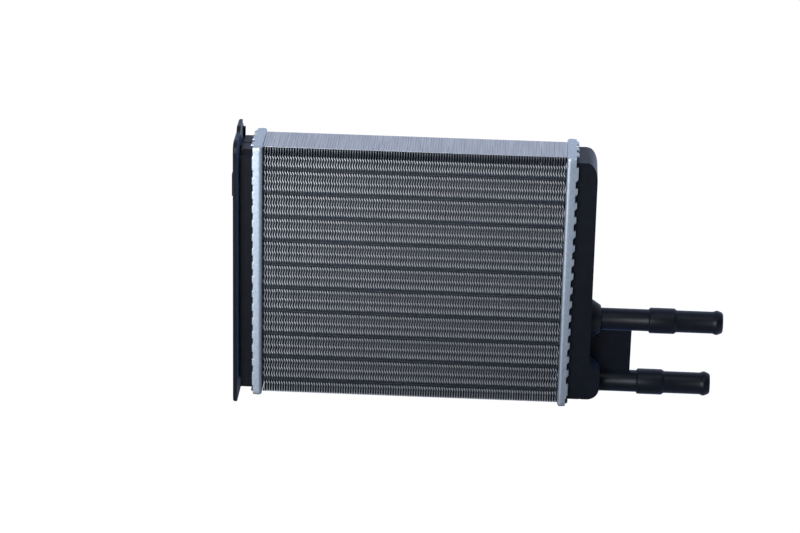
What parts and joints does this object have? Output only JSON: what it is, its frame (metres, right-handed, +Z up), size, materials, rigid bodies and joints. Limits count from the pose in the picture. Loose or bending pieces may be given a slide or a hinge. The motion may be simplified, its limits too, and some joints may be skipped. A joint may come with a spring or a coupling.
{
  "type": "car heater core",
  "caption": "Crimped heater core for a car: plate fins on round tubes between header plates, black moulded end tanks, hose stubs at one end and a closing plate at the other.",
  "frame": {"origin": "centre of the bottom of the whole object's box, level with the lower end of the closing plate", "axes": "+X along the hose stubs, away from the core; -Y is the front face of the fins; +Z up, along the header plates"},
  "size_m": [0.3878, 0.056, 0.2224],
  "materials": {
    "fins": "rolled foil, satin",
    "header": "pressed sheet, satin",
    "tubes": "drawn, satin",
    "gasket": "moulded rubber",
    "tank": "glass-filled nylon, fine moulded grain"
  },
  "bodies": {
    "root": {"fin_pack": "fins", "return_header": "header", "outlet_header": "header", "return_gasket": "gasket", "outlet_gasket": "gasket", "return_tank": "tank", "outlet_tank": "tank", "upper_stub": "tank", "lower_stub": "tank", "front_tube_01": "tubes", "front_tube_02": "tubes", "front_tube_03": "tubes", "front_tube_04": "tubes", "front_tube_05": "tubes", "front_tube_06": "tubes", "front_tube_07": "tubes", "front_tube_08": "tubes", "front_tube_09": "tubes", "front_tube_10": "tubes", "rear_tube_01": "tubes", "rear_tube_02": "tubes", "rear_tube_03": "tubes", "rear_tube_04": "tubes", "rear_tube_05": "tubes", "rear_tube_06": "tubes", "rear_tube_07": "tubes", "rear_tube_08": "tubes", "rear_tube_09": "tubes", "rear_tube_10": "tubes"}
  },
  "joints": []
}
